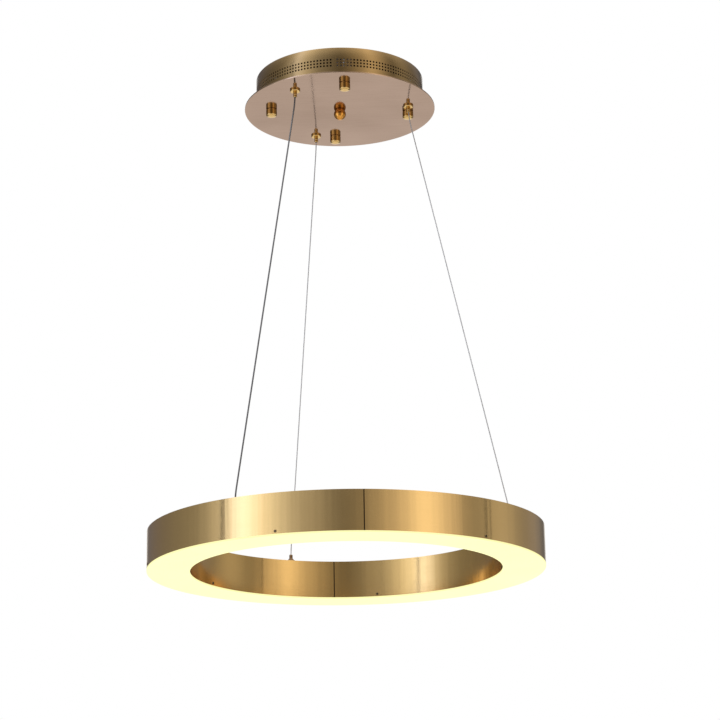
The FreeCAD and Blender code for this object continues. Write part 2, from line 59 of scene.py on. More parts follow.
def new_material(name):
    """A material with one shader, and that shader."""
    material = bpy.data.materials.new(name)
    material.use_nodes = True
    return material, material.node_tree.nodes["Principled BSDF"]


def new_group(name, inputs, outputs):
    """Shader node group, what its inputs give, and its output node. Inputs come with their defaults. The
    output Colour is a colour and the others are numbers."""
    group = bpy.data.node_groups.new(name, "ShaderNodeTree")
    for socket, value in inputs.items():
        kind = "NodeSocketColor" if isinstance(value, tuple) else "NodeSocketFloat"
        group.interface.new_socket(name=socket, in_out="INPUT", socket_type=kind).default_value = value
    for socket in outputs:
        kind = "NodeSocketColor" if socket == "Colour" else "NodeSocketFloat"
        group.interface.new_socket(name=socket, in_out="OUTPUT", socket_type=kind)
    return group, group.nodes.new("NodeGroupInput").outputs, group.nodes.new("NodeGroupOutput")


def feed(tree, node, inputs):
    """Gives a node's inputs, by name or number, their values, or links outputs to them."""
    for key, value in inputs.items():
        if isinstance(value, bpy.types.NodeSocket):
            tree.links.new(value, node.inputs[key])
        else:
            node.inputs[key].default_value = value


def new_node(tree, kind, inputs=None, **settings):
    """A node with its settings and inputs."""
    node = tree.nodes.new(kind)
    for name, value in settings.items():
        setattr(node, name, value)
    feed(tree, node, inputs or {})
    return node


def reckoned(tree, operation, *values):
    """Result of a sum on values or outputs."""
    return new_node(tree, "ShaderNodeMath", dict(enumerate(values)), operation=operation).outputs[0]


def own_place(tree):
    """Place on a piece in its own coordinates."""
    return new_node(tree, "ShaderNodeTexCoord").outputs["Object"]


def mapped_noise(tree, scale, detail, roughness=0.5):
    """Noise on the piece's own coordinates, stretched by a scale for each axis."""
    mapping = new_node(tree, "ShaderNodeMapping", {"Vector": own_place(tree), "Scale": scale})
    noise = new_node(tree, "ShaderNodeTexNoise", {
        "Vector": mapping.outputs["Vector"], "Scale": 1.0, "Detail": detail, "Roughness": roughness})
    return noise.outputs["Fac"]


def spread_between(tree, value, low, high):
    """Maps the useful middle of a noise to a range."""
    ramp = new_node(tree, "ShaderNodeMapRange", {
        "Value": value, "From Min": 0.3, "From Max": 0.7, "To Min": low, "To Max": high})
    return ramp.outputs["Result"]


def mixed_colour(tree, factor, first, second):
    """Blend of two colours, each a value or an output."""
    first, second = [(*colour, 1.0) if isinstance(colour, tuple) else colour for colour in (first, second)]
    mix = new_node(tree, "ShaderNodeMix", {"Factor": factor, 6: first, 7: second}, data_type="RGBA")
    return mix.outputs[2]


def surface_tone(name, scale, detail):
    """Group: two colours and two roughness values mixed by one noise, and its height."""
    group, given, result = new_group(
        name, {"Light": (0.8, 0.8, 0.8, 1), "Dark": (0.5, 0.5, 0.5, 1), "Smooth": 0.2, "Rough": 0.4},
        ("Colour", "Roughness", "Height"))
    noise = mapped_noise(group, scale, detail)
    factor = spread_between(group, noise, 0.0, 1.0)
    feed(group, result, {
        "Colour": mixed_colour(group, factor, given["Light"], given["Dark"]),
        "Roughness": spread_between(group, noise, given["Smooth"], given["Rough"]), "Height": noise})
    return group


def toned_material(name, group, light, dark, smooth, rough, bump, **constants):
    """Material whose colour, roughness and fine relief (bump, in metres) come from one tone group."""
    material, shader = new_material(name)
    tree = material.node_tree
    tone = new_node(tree, "ShaderNodeGroup", {
        "Light": (*light, 1.0), "Dark": (*dark, 1.0), "Smooth": smooth, "Rough": rough},
        node_tree=group).outputs
    feed(tree, shader, {"Base Color": tone["Colour"], "Roughness": tone["Roughness"]})
    if bump:
        relief = new_node(tree, "ShaderNodeBump", {"Distance": bump, "Height": tone["Height"]})
        feed(tree, shader, {"Normal": relief.outputs["Normal"]})
    feed(tree, shader, {key.replace("_", " "): value for key, value in constants.items()})
    return material


def painted(piece, material):
    """Gives a whole piece one material."""
    piece.data.materials.clear()
    piece.data.materials.append(material)


def dress(material, *nodes):
    """Gives CAD nodes that keep their own shape their finish."""
    for node in nodes:
        painted(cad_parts[node], material)


spangle = surface_tone("zinc spangle", (260.0, 260.0, 260.0), 4.0)
zinc = toned_material("zinc plated steel", spangle, (0.72, 0.73, 0.74), (0.52, 0.54, 0.58),
                      0.26, 0.42, 0.00002, Metallic=1.0)
dress(zinc, "ceiling_bracket", "bracket_studs", "stud_lock_nuts", "centre_rod", "centre_lock_nut",
      "gripper_lock_nuts", "driver_screws", "earth_screw")
moulding = surface_tone("moulded grain", (900.0, 900.0, 900.0), 3.0)
rubber = toned_material("black rubber", moulding, (0.030, 0.030, 0.032), (0.018, 0.018, 0.018),
                        0.55, 0.75, 0.00003)
dress(rubber, "inlet_grommet")

# -------- driver and terminal block
# The sealed power supply and the house cable's terminal block hang under the cross's arms.
# Both are moulded in white plastic with a fine spark-eroded grain.

driver_plastic = toned_material("driver case", moulding, (0.86, 0.86, 0.84), (0.80, 0.80, 0.78),
                                0.42, 0.55, 0.00004)
nylon = toned_material("terminal nylon", moulding, (0.80, 0.79, 0.73), (0.74, 0.73, 0.67),
                       0.35, 0.5, 0.00003, Subsurface_Weight=0.1)
dress(driver_plastic, "led_driver")
dress(nylon, "terminal_block", "feed_terminal")

# -------- canopy drum
# Rolled brass sheet, brushed round and round and lacquered dark. Three rows of small square
# vents are punched in every column but one, at the lap seam. Its foot turns in over the plate.

plate_node_low, plate_node_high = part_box("canopy_plate")
drum_low, drum_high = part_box("canopy_drum")
drum_radius = 0.1335
drum_wall = 0.001
drum_flange = 0.008
vent_columns = 160
vent_rows = 3
vent_size = 0.0028
vent_pitch = 0.0050
vent_start = 0.0199
vent_seam = math.radians(-93.4)
vent_corner = 0.3           # share of a vent's half side that its cut corner takes
vent_low = plate_node_low.z + vent_start - 0.5 * vent_pitch
vent_high = vent_low + vent_rows * vent_pitch
foot_round = 0.0004
foot_bend = 0.0010
rim_round = 0.0006
sharp_angle = math.radians(32)      # an edge over this is drawn sharp
column_merge = 2e-6                 # neighbouring columns' corners are this near or nearer


def on_circle(radius, angle, height=0.0):
    """Point at a radius and an angle round the Z axis."""
    return radius * math.cos(angle), radius * math.sin(angle), height


def placed(name, data):
    """New object at the origin, in the scene."""
    made = bpy.data.objects.new(name, data)
    collection.objects.link(made)
    return made


def filled(mesh, build, merge=1e-7):
    """The mesh with a bmesh put into it, cleaned, its normals outwards and its sharp edges marked."""
    bmesh.ops.remove_doubles(build, verts=build.verts, dist=merge)
    bmesh.ops.dissolve_degenerate(build, edges=build.edges, dist=1e-8)
    bmesh.ops.recalc_face_normals(build, faces=build.faces)
    build.to_mesh(mesh)
    build.free()
    mesh.shade_smooth()
    mesh.set_sharp_from_angle(angle=sharp_angle)
    return mesh


def mesh_object(name, build):
    """Object whose mesh is the given bmesh."""
    return placed(name, filled(bpy.data.meshes.new(name), build))


def bridged(build, rings):
    """Closes the wall between each ring of corners and the following one."""
    for ring, following in zip(rings, rings[1:]):
        for i in range(len(ring)):
            last = (i + 1) % len(ring)
            build.faces.new((ring[i], ring[last], following[last], following[i]))


def vent_column():
    """One column of the drum about +X: three holed cells with the wall's two faces and the vents' edges."""
    build = bmesh.new()
    side = math.pi / vent_columns * drum_radius
    half = 0.5 * vent_pitch
    reach = 0.5 * vent_size
    cut = reach * (1 - vent_corner)
    border = ((side, 0), (side, half), (0, half), (-side, half),
              (-side, 0), (-side, -half), (0, -half), (side, -half))
    hole = ((reach, -cut), (reach, cut), (cut, reach), (-cut, reach),
            (-reach, cut), (-reach, -cut), (-cut, -reach), (cut, -reach))

    def loop(radius, middle, corners):
        """Corners of (way round, rise) bent on to a cylinder of this radius."""
        return [build.verts.new(on_circle(radius, along / drum_radius, middle + rise))
                for along, rise in corners]

    for row in range(vent_rows):
        middle = plate_node_low.z + vent_start + row * vent_pitch
        rims = []
        for radius in (drum_radius, drum_radius - drum_wall):
            outer, inner = loop(radius, middle, border), loop(radius, middle, hole)
            rims.append(inner)
            for i in range(8):
                following = (i + 1) % 8
                build.faces.new((outer[i], inner[following], inner[i]))
                build.faces.new((outer[i], outer[following], inner[following]))
        bridged(build, rims)
    return build


def plain_outline():
    """Drum's section in (radius, height), from the foot over the wall. None stands for the vents."""
    inside = drum_radius - drum_wall
    floor_top = drum_low.z + drum_wall
    return [(inside - drum_flange, drum_low.z), (drum_radius - foot_round, drum_low.z),
            (drum_radius - 0.25 * foot_round, drum_low.z + 0.25 * foot_round),
            (drum_radius, drum_low.z + foot_round), (drum_radius, drum_low.z + foot_bend),
            (drum_radius, vent_low), None,
            (drum_radius, vent_high), (drum_radius, drum_high.z - rim_round),
            (drum_radius - 0.5 * rim_round, drum_high.z), (inside + 0.5 * rim_round, drum_high.z),
            (inside, drum_high.z - rim_round), (inside, vent_high), None,
            (inside, vent_low), (inside, floor_top + foot_bend), (inside - 0.8 * foot_bend, floor_top),
            (inside - drum_flange, floor_top), (inside - drum_flange, drum_low.z)]


def add_strips(build, outline):
    """One column's plain strips, in two steps of angle so that they meet the holed cells."""
    half_angle = math.pi / vent_columns
    for first, second in zip(outline, outline[1:]):
        if first is None or second is None:
            continue
        for start in (-half_angle, 0.0):
            end = start + half_angle
            corners = ((first, start), (second, start), (second, end), (first, end))
            build.faces.new([build.verts.new(on_circle(radius, angle, height))
                             for (radius, height), angle in corners])
    return build


def circle_tree():
    """Node tree that sets a piece on each point of a mesh, turned to face away from the Z axis."""
    tree = bpy.data.node_groups.new("set on each point", "GeometryNodeTree")
    for name, kind in (("Points", "Geometry"), ("Piece", "Object"), ("Height", "Float"),
                       ("Material", "Material")):
        tree.interface.new_socket(name=name, in_out="INPUT", socket_type="NodeSocket" + kind)
    tree.interface.new_socket(name="Pieces", in_out="OUTPUT", socket_type="NodeSocketGeometry")
    given = new_node(tree, "NodeGroupInput").outputs
    place = new_node(tree, "GeometryNodeInputPosition")
    parts = new_node(tree, "ShaderNodeSeparateXYZ", {"Vector": place.outputs["Position"]})
    turn = reckoned(tree, "ARCTAN2", parts.outputs["Y"], parts.outputs["X"])
    rotation = new_node(tree, "ShaderNodeCombineXYZ", {"Z": turn})
    lift = new_node(tree, "ShaderNodeCombineXYZ", {"Z": given["Height"]})
    raised = new_node(tree, "GeometryNodeSetPosition", {
        "Geometry": given["Points"], "Offset": lift.outputs[0]})
    source = new_node(tree, "GeometryNodeObjectInfo", {"Object": given["Piece"]})
    copies = new_node(tree, "GeometryNodeInstanceOnPoints", {
        "Points": raised.outputs["Geometry"], "Instance": source.outputs["Geometry"],
        "Rotation": rotation.outputs[0]})
    real = new_node(tree, "GeometryNodeRealizeInstances", {"Geometry": copies.outputs["Instances"]})
    finished = new_node(tree, "GeometryNodeSetMaterial", {
        "Geometry": real.outputs["Geometry"], "Material": given["Material"]})
    new_node(tree, "NodeGroupOutput", {"Pieces": finished.outputs["Geometry"]})
    return tree


set_on_points = circle_tree()


def evaluated_mesh(piece):
    """Plain mesh of what a piece's modifier or curve makes."""
    bpy.context.view_layer.update()
    return bpy.data.meshes.new_from_object(piece.evaluated_get(bpy.context.evaluated_depsgraph_get()))


def set_round(name, piece, radius, angles, material, height=0.0):
    """One mesh of a piece set at each angle of a circle; the pattern piece is used up."""
    points = bpy.data.meshes.new(name)
    points.from_pydata([on_circle(radius, angle) for angle in angles], [], [])
    made = placed(name, points)
    modifier = made.modifiers.new("set on each point", "NODES")
    modifier.node_group = set_on_points
    values = {"Piece": piece, "Height": height, "Material": material}
    for item in set_on_points.interface.items_tree:
        if item.in_out == "INPUT" and item.name in values:
            modifier[item.identifier] = values[item.name]
    finished = evaluated_mesh(made)
    made.modifiers.clear()
    made.data = finished
    painted(made, material)
    finished.polygons.foreach_set("material_index", [0] * len(finished.polygons))
    bpy.data.objects.remove(piece)
    return made


def hairline(name, scale, waves=(14.0, 14.0, 14.0)):
    """Group of a brushed finish: fine lines, waves of the sheet, touch marks and bright edges."""
    group, given, result = new_group(
        name, {"Metal": (0.8, 0.55, 0.25, 1), "Shade": (0.6, 0.4, 0.2, 1), "Edge": (0.9, 0.7, 0.4, 1),
               "Smooth": 0.2, "Rough": 0.35, "Wave depth": 0.0}, ("Colour", "Roughness", "Height"))
    lines = mapped_noise(group, scale, 3.0, 0.7)
    broad = mapped_noise(group, (9.0, 9.0, 14.0), 2.0)
    marks = mapped_noise(group, (55.0, 55.0, 55.0), 5.0, 0.62)
    fine_share, broad_share = 0.55, 0.45
    both = reckoned(group, "ADD", reckoned(group, "MULTIPLY", lines, fine_share),
                    reckoned(group, "MULTIPLY", broad, broad_share))
    factor = spread_between(group, both, 0.0, 1.0)
    tone = mixed_colour(group, factor, given["Metal"], given["Shade"])
    edge = new_node(group, "ShaderNodeAttribute", attribute_name="edge")
    worn = reckoned(group, "MULTIPLY", edge.outputs["Fac"], spread_between(group, marks, 0.2, 0.9))
    rough = spread_between(group, lines, given["Smooth"], given["Rough"])
    swell = reckoned(group, "MULTIPLY", mapped_noise(group, waves, 2.0), given["Wave depth"])
    feed(group, result, {
        "Colour": mixed_colour(group, worn, tone, given["Edge"]),
        "Roughness": reckoned(group, "ADD", rough, spread_between(group, marks, -0.015, 0.03)),
        "Height": reckoned(group, "ADD", swell, lines)})
    return group


def brushed_metal(name, group, metal, shade, edge, smooth, rough, bump,
                  anisotropic=0.0, rotation=0.0, wave=0.0):
    """Metal with a brushed finish, its lines bump deep and the sheet's waves wave deep, in metres. The
    gloss may be drawn out across a brushing about the Z axis."""
    material, shader = new_material(name)
    tree = material.node_tree
    finish = new_node(tree, "ShaderNodeGroup", {
        "Metal": (*metal, 1), "Shade": (*shade, 1), "Edge": (*edge, 1), "Smooth": smooth, "Rough": rough,
        "Wave depth": wave / bump}, node_tree=group).outputs
    relief = new_node(tree, "ShaderNodeBump", {"Distance": bump, "Height": finish["Height"]})
    feed(tree, shader, {"Base Color": finish["Colour"], "Roughness": finish["Roughness"],
                        "Normal": relief.outputs["Normal"], "Metallic": 1.0})
    if anisotropic:
        around = new_node(tree, "ShaderNodeTangent", direction_type="RADIAL", axis="Z")
        feed(tree, shader, {"Anisotropic": anisotropic, "Anisotropic Rotation": rotation,
                            "Tangent": around.outputs["Tangent"]})
    return material


round_brushing = hairline("brushed round", (14.0, 14.0, 2600.0), (75.0, 75.0, 1.5))
drum_brass = brushed_metal("dark brushed brass", round_brushing, (0.36, 0.240, 0.108), (0.29, 0.188, 0.080),
                           (0.50, 0.35, 0.18), 0.16, 0.25, 0.00001, anisotropic=0.6, rotation=0.25)

whole_outline = [corner for corner in plain_outline() if corner is not None]
holed_column = mesh_object("holed_column", add_strips(vent_column(), plain_outline()))
holed_column.data.transform(Matrix.Translation((-drum_radius, 0, 0)))
blank_column = mesh_object("blank_column", add_strips(bmesh.new(), whole_outline))
column_angles = [vent_seam + 2 * math.pi * i / vent_columns for i in range(vent_columns)]
drum = set_round("perforated_drum", holed_column, drum_radius, column_angles[1:], drum_brass)
drum_build = bmesh.new()
drum_build.from_mesh(drum.data)
blank_column.data.transform(Matrix.Rotation(vent_seam, 4, "Z"))
drum_build.from_mesh(blank_column.data)
bpy.data.objects.remove(blank_column)
filled(drum.data, drum_build, merge=column_merge)
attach(drum, "canopy")
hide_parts("canopy_drum")

# -------- canopy plate
# A flat disc of rose bronze that overhangs the drum, brushed one way and lacquered almost to a
# mirror. Only its rim is eased.

plate_radius = plate_node_high.x
plate_ease = 0.0005
support_reach = 1.6         # corners that hold a flat face flat stand this many easings from its edge
ease_share = 0.3            # an easing takes no more of a short side than this


def eased(outline, ease, steps=3):
    """Closed outline with its corners rounded. Each point is (radius, height, 1 on a rounding)."""
    points = []
    for i, corner in enumerate(outline):
        here = Vector(corner)
        to_last = Vector(outline[i - 1]) - here
        to_next = Vector(outline[(i + 1) % len(outline)]) - here
        if here.x < 1e-9:
            points.append((here.x, here.y, 0.0))
            continue
        reach = min(ease, ease_share * to_last.length, ease_share * to_next.length)
        start = here + to_last.normalized() * reach
        end = here + to_next.normalized() * reach
        points.append((*(here + to_last.normalized() * support_reach * reach), 0.0))
        for step in range(steps + 1):
            t = step / steps
            points.append((*(start * (1 - t) ** 2 + here * 2 * t * (1 - t) + end * t ** 2), 1.0))
        points.append((*(here + to_next.normalized() * support_reach * reach), 0.0))
    return points


def turned(name, outline, ease, sides, start=0.0, sweep=2 * math.pi):
    """Turned or rolled piece: an outline of (radius, height) swept round the Z axis."""
    build = bmesh.new()
    edge_layer = build.verts.layers.float.new("edge")
    section = eased(outline, ease)
    whole = sweep > 2 * math.pi - 1e-9
    turns = sides if whole else sides + 1
    rings = []
    for step in range(turns):
        angle = start + sweep * step / sides
        ring = []
        for radius, height, on_edge in section:
            corner = build.verts.new(on_circle(radius, angle, height))
            corner[edge_layer] = on_edge
            ring.append(corner)
        rings.append(ring)
    bridged(build, rings + rings[:1] if whole else rings)
    if not whole:
        build.faces.new(rings[0])
        build.faces.new(list(reversed(rings[-1])))
    return mesh_object(name, build)


straight_brushing = hairline("brushed one way", (26.0, 2400.0, 26.0))
rose_bronze = brushed_metal("rose bronze", straight_brushing, (0.430, 0.288, 0.205), (0.300, 0.186, 0.118),
                            (0.66, 0.48, 0.34), 0.06, 0.13, 0.000004)
plate = turned("canopy_plate_disc", [
    (0, plate_node_low.z), (plate_radius, plate_node_low.z), (plate_radius, plate_node_high.z),
    (0, plate_node_high.z)], plate_ease, sides=256)
painted(plate, rose_bronze)
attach(plate, "canopy")
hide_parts("canopy_plate")

# -------- cap nuts and ball nut
# Turned brass: four closed nuts with a narrow neck hold the plate on the cross's studs, and a
# ball with a short neck closes the middle. All are polished on the lathe.

stud_circle = 0.1095
bracket_angle = math.radians(4.2)
cap_nut_radius = 0.0086
cap_nut_height = 0.0118
cap_nut_neck = 0.0074
cap_nut_neck_height = 0.0010
cap_nut_dome = 0.0024
ball_radius = 0.0096
ball_neck = 0.0079
ball_neck_height = 0.0004

lathe_marks = hairline("lathe marks", (60.0, 60.0, 3800.0))
turned_brass = brushed_metal("turned brass", lathe_marks, (0.72, 0.465, 0.155), (0.56, 0.355, 0.100),
                             (0.85, 0.62, 0.30), 0.10, 0.18, 0.000005)
underside = plate_node_low.z


def down(*points):
    """Outline given downwards from the plate's underside."""
    return [(radius, underside - depth) for radius, depth in points]


dome = [(cap_nut_radius * across, cap_nut_height - cap_nut_dome * rise)
        for across, rise in ((1.0, 1.0), (0.98, 0.78), (0.92, 0.56), (0.82, 0.36), (0.66, 0.18), (0.42, 0.06),
                             (0, 0))]
cap_nut = turned("cap_nut", down(
    (0, 0), (cap_nut_neck, 0), (cap_nut_neck, cap_nut_neck_height), (cap_nut_radius, cap_nut_neck_height),
    *dome), ease=0.0002, sides=48)
stud_angles = [bracket_angle + 0.5 * math.pi * i for i in range(4)]
cap_nuts = set_round("turned_cap_nuts", cap_nut, stud_circle, stud_angles, turned_brass)
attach(cap_nuts, "canopy")
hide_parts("cap_nuts")

ball_depth = ball_neck_height + math.sqrt(ball_radius ** 2 - ball_neck ** 2)
ball_start = math.asin(ball_neck / ball_radius)
ball_outline = [(0, 0), (ball_neck, 0), (ball_neck, ball_neck_height)]
ball_steps = 20
for step in range(1, ball_steps + 1):
    polar = ball_start + (math.pi - ball_start) * step / ball_steps
    ball_outline.append((ball_radius * math.sin(polar) if step < ball_steps else 0,
                         ball_depth - ball_radius * math.cos(polar)))
ball = turned("turned_ball_nut", down(*ball_outline), ease=0.00005, sides=48)
amber_brass = brushed_metal("amber lacquered brass", lathe_marks, (0.74, 0.34, 0.065), (0.62, 0.27, 0.045),
                            (0.85, 0.48, 0.15), 0.07, 0.12, 0.000002)
painted(ball, amber_brass)
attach(ball, "canopy")
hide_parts("ball_nut")

# -------- cable grippers
# Screwed brass sockets in the plate: below it a round flange and a hollow release plunger that
# travels 2 mm, and above it a lock nut, a spring and a cap. The wire runs through all of it.

grip_circle = 0.1105
grip_sides = {"far": math.radians(111), "left": math.radians(231), "right": math.radians(351)}
flange_radius = 0.008
flange_height = 0.003
shank_radius = 0.005
shank_top = 0.020
plunger_radius = 0.003
plunger_in = 0.002
plunger_out = 0.0088
plunger_bore = 0.0015
plunger_mouth = 0.0023
plunger_mouth_depth = 0.004
plunger_seat = 0.00195      # widened top of the bore, where the balls sit
plunger_seat_height = 0.006
groove_at = 0.0034          # thumb groove, up from the plunger's mouth
groove_depth = 0.0004
tip_bevel_in = 0.0003
tip_bevel_up = 0.0005
guide_radius = plunger_radius + 0.00005
flange_bevel = 0.0008
cone_top = 0.002
cone_radius = guide_radius + 0.0008

gripper = turned("gripper_socket", down(
    (guide_radius, flange_height), (flange_radius - flange_bevel, flange_height),
    (flange_radius, flange_height - flange_bevel), (flange_radius, 0), (shank_radius, 0),
    (shank_radius, -shank_top), (cone_radius, -shank_top), (cone_radius, -cone_top),
    (guide_radius, 0)), ease=0.0002, sides=40)
grippers = set_round("gripper_sockets", gripper, grip_circle, list(grip_sides.values()), turned_brass)
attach(grippers, "canopy")
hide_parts("gripper_bodies")

for side, angle in grip_sides.items():
    tip = flange_height + plunger_out
    root = flange_height - plunger_in
    plunger = turned("plunger_pattern_" + side, down(
        (plunger_mouth, tip), (plunger_radius - tip_bevel_in, tip), (plunger_radius, tip - tip_bevel_up),
        (plunger_radius, tip - groove_at + groove_depth), (plunger_radius - groove_depth, tip - groove_at),
        (plunger_radius, tip - groove_at - groove_depth), (plunger_radius, root), (plunger_seat, root),
        (plunger_seat, root - plunger_seat_height), (plunger_bore, root - plunger_seat_height),
        (plunger_bore, tip - plunger_mouth_depth)), ease=0.00015, sides=32)
    plunger_set = set_round("push_plunger_" + side, plunger, grip_circle, [angle], turned_brass)
    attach(plunger_set, "plunger_" + side)
    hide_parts("release_plunger_" + side)
    dress(zinc, "grip_balls_" + side)
dress(turned_brass, "gripper_caps")

# -------- ring bands
# Two pairs of half rings of brass sheet, rolled and brushed lengthwise. They butt at a fine
# joint on each side, beside which a dark line of painted shade is laid on the brass; one pair
# faces out and one the middle, and the inner pair's brass is painted darker as shade.

band_low, band_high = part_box("outer_band_left")
outer_radius = 0.300
inner_radius = 0.2352
band_thickness = 0.001
seam_angle = math.radians(-85.1)
seam_gap = 0.0002
band_ease = 0.00025
joint_dark = 0.0006          # half width of the painted shade's dark line at a joint
joint_shade_fade_end = 0.0012         # half width where the painted shade has faded out

outer_brass = brushed_metal("brushed brass", round_brushing, (0.80, 0.555, 0.250), (0.75, 0.51, 0.22),
                            (0.90, 0.68, 0.38), 0.12, 0.18, 0.000004, anisotropic=0.6, rotation=0.25,
                            wave=0.00022)
# The inner bands are the same brass as the outer ones, painted darker as the shade inside the ring.
shaded_inner_brass = brushed_metal("brushed brass with painted shade", round_brushing, (0.72, 0.480, 0.195), (0.67, 0.44, 0.17),
                            (0.85, 0.62, 0.33), 0.12, 0.18, 0.000004, anisotropic=0.6, rotation=0.25,
                            wave=0.00018)


def smooth_step(tree, value, low, high, top=1.0):
    """Nothing below one value and top above another, with a soft change between them."""
    return new_node(tree, "ShaderNodeMapRange", {
        "Value": value, "From Min": low, "From Max": high, "To Max": top},
        interpolation_type="SMOOTHSTEP").outputs["Result"]


def joint_shade():
    """Group: darkens a colour beside the butt joints with painted shade. The joints lie in one upright plane.
    """
    group, given, result = new_group("painted joint shade", {"Unshaded": (0.8, 0.6, 0.3, 1)}, ("Colour",))
    across = (math.sin(seam_angle), -math.cos(seam_angle), 0.0)
    aside = new_node(group, "ShaderNodeVectorMath", {0: own_place(group), 1: across}, operation="DOT_PRODUCT")
    unshaded_share = smooth_step(group, reckoned(group, "ABSOLUTE", aside.outputs["Value"]), joint_dark, joint_shade_fade_end)
    # The dark colour is the painted shade at the joints.
    feed(group, result, {"Colour": mixed_colour(group, unshaded_share, (0.085, 0.052, 0.024), given["Unshaded"])})
    return group


joint_tone = joint_shade()
# The painted shade at the joints is laid over both bands' brass.
for material in (outer_brass, shaded_inner_brass):
    tree = material.node_tree
    shader = tree.nodes["Principled BSDF"]
    unshaded_tone = shader.inputs["Base Color"].links[0].from_socket
    shade = new_node(tree, "ShaderNodeGroup", {"Unshaded": unshaded_tone}, node_tree=joint_tone)
    feed(tree, shader, {"Base Color": shade.outputs["Colour"]})

for kind, low_radius, high_radius in (("outer", outer_radius - band_thickness, outer_radius),
                                      ("inner", inner_radius, inner_radius + band_thickness)):
    for side, turn in (("right", 0.0), ("left", math.pi)):
        gap = seam_gap / high_radius
        band = turned(kind + "_band_half_" + side,
                      [(low_radius, band_low.z), (high_radius, band_low.z),
                       (high_radius, band_high.z), (low_radius, band_high.z)],
                      band_ease, sides=220, start=seam_angle + turn + 0.5 * gap, sweep=math.pi - gap)
        painted(band, outer_brass if kind == "outer" else shaded_inner_brass)
        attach(band, "ring")
        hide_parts(kind + "_band_" + side)

# -------- ring channel
# The inverted sheet channel that closes the ring from above, in two halves. It has the bands'
# lacquer on a satin ground. Its joint plates are zinc plated, and the bands' splice plates are
# painted near black as the shade seen through the joints.

satin = hairline("satin", (40.0, 40.0, 40.0))
channel_coat = brushed_metal("channel lacquer", satin, (0.78, 0.53, 0.24), (0.66, 0.44, 0.18),
                             (0.88, 0.66, 0.36), 0.26, 0.38, 0.00001)
dress(channel_coat, "top_channel_far", "top_channel_near")
dress(zinc, "channel_joint_plates", "tray_posts", "tray_screws", "anchor_lock_nuts")
# The splice plates are painted near black as the shade seen through the bands' joints.
splice_shade_steel = toned_material("steel painted in the joints' shade", spangle, (0.055, 0.040, 0.026), (0.030, 0.022, 0.015),
                           0.45, 0.6, 0.00001, Metallic=1.0)
dress(splice_shade_steel, "splice_plates")

# -------- lamp tray
# White painted sheet that carries six curved boards of warm white chips, shining down. All of
# it is closed in behind the diffuser.

tray_paint = toned_material("tray paint", moulding, (0.90, 0.90, 0.88), (0.85, 0.85, 0.83),
                            0.4, 0.55, 0.00003)
board_mask = toned_material("white board", moulding, (0.92, 0.92, 0.89), (0.88, 0.88, 0.85),
                            0.3, 0.42, 0.00001)
phosphor = toned_material("chip phosphor", moulding, (0.95, 0.78, 0.30), (0.90, 0.70, 0.24), 0.25, 0.35,
                          0.00001, Emission_Color=(1.0, 0.86, 0.55, 1.0), Emission_Strength=1.0)
dress(tray_paint, "led_tray_far", "led_tray_near")
dress(board_mask, "led_boards")
dress(phosphor, "led_chips")

# -------- diffuser
# One ring of opal acrylic, lit from inside. Its lip covers the bands' lower edges, and its two
# skirts stand up inside them, where the band screws hold them.

ring_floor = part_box("diffuser")[0].z
skirt_height = 0.012
skirt_top = band_low.z + skirt_height
skirt_thickness = 0.0022
skirt_gap = 0.0002
lip_ease = 0.0010
glow_top = band_low.z + 0.0002      # what stands above this is hidden and gives no light
outer_skirt = outer_radius - band_thickness - skirt_gap
inner_skirt = inner_radius + band_thickness + skirt_gap
opal_ring = turned("opal_ring", [
    (inner_radius, ring_floor), (outer_radius, ring_floor), (outer_radius, band_low.z),
    (outer_skirt, band_low.z), (outer_skirt, skirt_top), (outer_skirt - skirt_thickness, skirt_top),
    (outer_skirt - skirt_thickness, band_low.z), (inner_skirt + skirt_thickness, band_low.z),
    (inner_skirt + skirt_thickness, skirt_top), (inner_skirt, skirt_top), (inner_skirt, band_low.z),
    (inner_radius, band_low.z)], lip_ease, sides=360)

opal, opal_shader = new_material("lit opal acrylic")
tree = opal.node_tree
cloud = spread_between(tree, mapped_noise(tree, (6.0, 6.0, 6.0), 2.0), 0.0, 1.0)
glow = mixed_colour(tree, cloud, (1.0, 0.975, 0.455), (1.0, 0.955, 0.420))
parts = new_node(tree, "ShaderNodeSeparateXYZ", {"Vector": own_place(tree)})
behind_bands = reckoned(tree, "GREATER_THAN", parts.outputs["Z"], glow_top)
glow = mixed_colour(tree, behind_bands, glow, (0.0, 0.0, 0.0))
grain = mapped_noise(tree, (1500.0, 1500.0, 1500.0), 2.0)
feed(tree, opal_shader, {
    "Emission Color": glow, "Emission Strength": 0.97, "Base Color": (0.10, 0.097, 0.075, 1.0),
    "Specular IOR Level": 0.2, "Roughness": spread_between(tree, grain, 0.32, 0.42)})
painted(opal_ring, opal)
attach(opal_ring, "ring")
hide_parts("diffuser")

# -------- band screws
# Small browned button screws with a socket in the head, a little above the bands' lower edges.
# They go through the bands into the diffuser's skirts.

screw_level = ring_floor + 0.006
screw_head = 0.0022
screw_rise = 0.0009
socket_radius = 0.0011
socket_depth = 0.0007
socket_taper = 0.92         # the socket's floor against its mouth
screw_shank = 0.0015
screw_length = 0.006


def button_screw(outwards):
    """Screw on the X axis with its head towards +X, or towards -X, at the height of zero."""
    build = bmesh.new()
    sides, head_steps = 24, 6
    profile = [(screw_length, 0.0), (screw_length, screw_shank), (0.0, screw_shank), (0.0, screw_head)]
    for step in range(1, head_steps):
        angle = 0.5 * math.pi * step / head_steps
        profile.append((-screw_rise * math.sin(angle),
                        socket_radius + (screw_head - socket_radius) * math.cos(angle)))
    profile += [(-screw_rise, socket_radius), (-screw_rise + socket_depth, socket_radius * socket_taper),
                (-screw_rise + socket_depth, 0.0)]
    turns = [2 * math.pi * i / sides for i in range(sides)]
    bridged(build, [[build.verts.new((-depth * outwards, radius * math.cos(turn), radius * math.sin(turn)))
                     for turn in turns] for depth, radius in profile])
    return mesh_object("button_screw", build)


